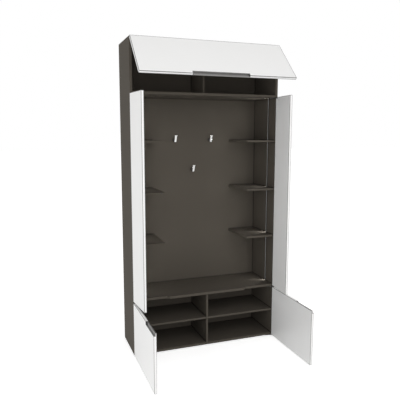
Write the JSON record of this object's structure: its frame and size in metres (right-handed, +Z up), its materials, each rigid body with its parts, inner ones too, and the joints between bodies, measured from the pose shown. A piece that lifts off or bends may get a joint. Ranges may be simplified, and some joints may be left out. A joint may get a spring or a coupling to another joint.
{
  "type": "mudroom locker unit",
  "caption": "Tall hall unit with an open coat bay and bench between shelf columns, shoe cubbies behind low doors, narrow tall doors and a lift-up flap on top.",
  "frame": {"origin": "on the floor, in the middle of the space that the unit takes up with its fronts open as in the picture", "axes": "+X to the right as seen from the front, +Y from the open fronts to the rear face, +Z up"},
  "size_m": [1.0036, 0.8158, 1.9958],
  "materials": {
    "carcass_board": "dark graphite-brown matt board",
    "front_lacquer": "satin white lacquer",
    "gunmetal": "dark anodised, satin",
    "hook_metal": "bright satin",
    "zinc": "black zinc plated",
    "diffuser": "opal",
    "nylon": "dark moulded"
  },
  "bodies": {
    "carcass": {"pivot_plate_bottom_left": "zinc", "pivot_plate_bench_left": "zinc", "pivot_plate_top_left": "zinc", "pivot_plate_bottom_right": "zinc", "pivot_plate_bench_right": "zinc", "pivot_plate_top_right": "zinc", "flap_bracket_left": "zinc", "flap_bracket_right": "zinc", "wall_bracket_left": "zinc", "wall_bracket_right": "zinc", "glide_front_left": "nylon", "glide_rear_left": "nylon", "glide_front_right": "nylon", "glide_rear_right": "nylon", "catch_tall_left": "nylon", "catch_low_left": "nylon", "catch_tall_right": "nylon", "catch_low_right": "nylon", "side_panel_left": "carcass_board", "light_channel_left": "gunmetal", "light_diffuser_left": "diffuser", "side_panel_right": "carcass_board", "light_channel_right": "gunmetal", "light_diffuser_right": "diffuser", "bottom_panel": "carcass_board", "bench_board": "carcass_board", "top_shelf": "carcass_board", "top_panel": "carcass_board", "low_shelf": "carcass_board", "low_divider_lower": "carcass_board", "low_divider_upper": "carcass_board", "top_divider": "carcass_board", "small_shelf_left_lower": "carcass_board", "small_shelf_left_middle": "carcass_board", "small_shelf_left_upper": "carcass_board", "small_shelf_right_lower": "carcass_board", "small_shelf_right_middle": "carcass_board", "small_shelf_right_upper": "carcass_board", "coat_hook_left": "hook_metal", "coat_hook_right": "hook_metal", "coat_hook_centre": "hook_metal", "back_panel": "carcass_board"},
    "tall_door_left": {"tall_bush_upper_left": "nylon", "tall_bush_lower_left": "nylon", "tall_door_left": "front_lacquer"},
    "low_door_left": {"low_bush_upper_left": "nylon", "low_bush_lower_left": "nylon", "low_door_left": "front_lacquer", "low_handle_left": "gunmetal"},
    "tall_door_right": {"tall_bush_upper_right": "nylon", "tall_bush_lower_right": "nylon", "tall_door_right": "front_lacquer"},
    "low_door_right": {"low_bush_upper_right": "nylon", "low_bush_lower_right": "nylon", "low_door_right": "front_lacquer", "low_handle_right": "gunmetal"},
    "flap": {"flap_pin_left": "hook_metal", "flap_pin_right": "hook_metal", "flap": "front_lacquer", "flap_handle": "gunmetal"}
  },
  "joints": [
    {"name": "tall_door_left_swing", "type": "hinge", "parent": "carcass", "child": "tall_door_left", "pos_m": [-0.49381, 0.08442, 1.005], "axis": [0, 0, -1], "range_deg": [-85, 25]},
    {"name": "tall_door_right_swing", "type": "hinge", "parent": "carcass", "child": "tall_door_right", "pos_m": [0.49381, 0.08442, 1.005], "axis": [0, 0, 1], "range_deg": [-85, 25]},
    {"name": "low_door_left_swing", "type": "hinge", "parent": "carcass", "child": "low_door_left", "pos_m": [-0.49381, 0.08442, 0.175], "axis": [0, 0, -1], "range_deg": [-90, 20]},
    {"name": "low_door_right_swing", "type": "hinge", "parent": "carcass", "child": "low_door_right", "pos_m": [0.49381, 0.08442, 0.175], "axis": [0, 0, 1], "range_deg": [-90, 20]},
    {"name": "flap_lift", "type": "hinge", "parent": "carcass", "child": "flap", "pos_m": [0, 0.08442, 1.98681], "axis": [-1, 0, 0], "range_deg": [-44.5, 45.5]}
  ]
}
